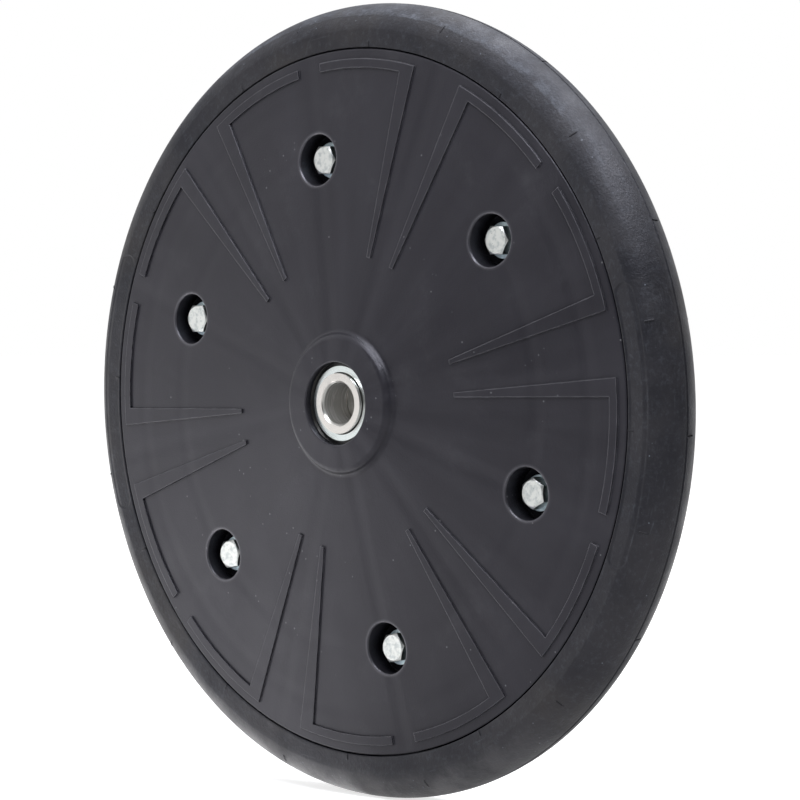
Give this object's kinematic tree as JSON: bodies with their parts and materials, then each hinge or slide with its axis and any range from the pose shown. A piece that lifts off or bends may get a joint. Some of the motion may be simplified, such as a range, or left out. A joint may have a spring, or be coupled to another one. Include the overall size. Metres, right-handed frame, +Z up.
{
  "type": "planter press wheel",
  "caption": "Black press wheel for a seed planter: bolted half rims, flexible rubber tyre and a double ball bearing hub.",
  "frame": {"origin": "centre of the wheel, on the axle, halfway between the two half rims", "axes": "+Y along the axle, away from the side with the bolt heads; +Z up as the wheel stands"},
  "size_m": [0.38, 0.0632, 0.38],
  "materials": {
    "rim_nylon": "satin moulded",
    "tyre_rubber": "matt with a pale bloom",
    "zinc_plate": "bright zinc plated",
    "bearing_steel": "ground and polished",
    "pressed_steel": "pressed, bright",
    "insert_nylon": "plain"
  },
  "bodies": {
    "axle_core": {"front_inner_ring": "bearing_steel", "rear_inner_ring": "bearing_steel", "bearing_spacer": "bearing_steel"},
    "wheel": {"front_half_rim": "rim_nylon", "rear_half_rim": "rim_nylon", "tyre": "tyre_rubber", "hex_bolts": "zinc_plate", "front_washers": "zinc_plate", "rear_washers": "zinc_plate", "lock_nuts": "zinc_plate", "lock_nut_inserts": "insert_nylon", "front_outer_ring": "bearing_steel", "front_outer_shield": "pressed_steel", "front_inner_shield": "pressed_steel", "rear_outer_ring": "bearing_steel", "rear_outer_shield": "pressed_steel", "rear_inner_shield": "pressed_steel"},
    "front_ball_set": {"front_balls": "bearing_steel", "front_cage_outer_half": "pressed_steel", "front_cage_inner_half": "pressed_steel", "front_cage_rivets": "pressed_steel"},
    "rear_ball_set": {"rear_balls": "bearing_steel", "rear_cage_outer_half": "pressed_steel", "rear_cage_inner_half": "pressed_steel", "rear_cage_rivets": "pressed_steel"}
  },
  "joints": [
    {"name": "wheel_spin", "type": "hinge", "parent": "axle_core", "child": "wheel", "pos_m": [0, 0, 0], "axis": [0, 1, 0], "continuous": true},
    {"name": "front_ball_set_spin", "type": "hinge", "parent": "axle_core", "child": "front_ball_set", "pos_m": [0, -0.021, 0], "axis": [0, 1, 0], "continuous": true},
    {"name": "rear_ball_set_spin", "type": "hinge", "parent": "axle_core", "child": "rear_ball_set", "pos_m": [0, 0.021, 0], "axis": [0, 1, 0], "continuous": true}
  ],
  "couplings": [
    {"joint": "front_ball_set_spin", "follows": "wheel_spin", "ratio": 0.6181},
    {"joint": "rear_ball_set_spin", "follows": "wheel_spin", "ratio": 0.6181}
  ]
}
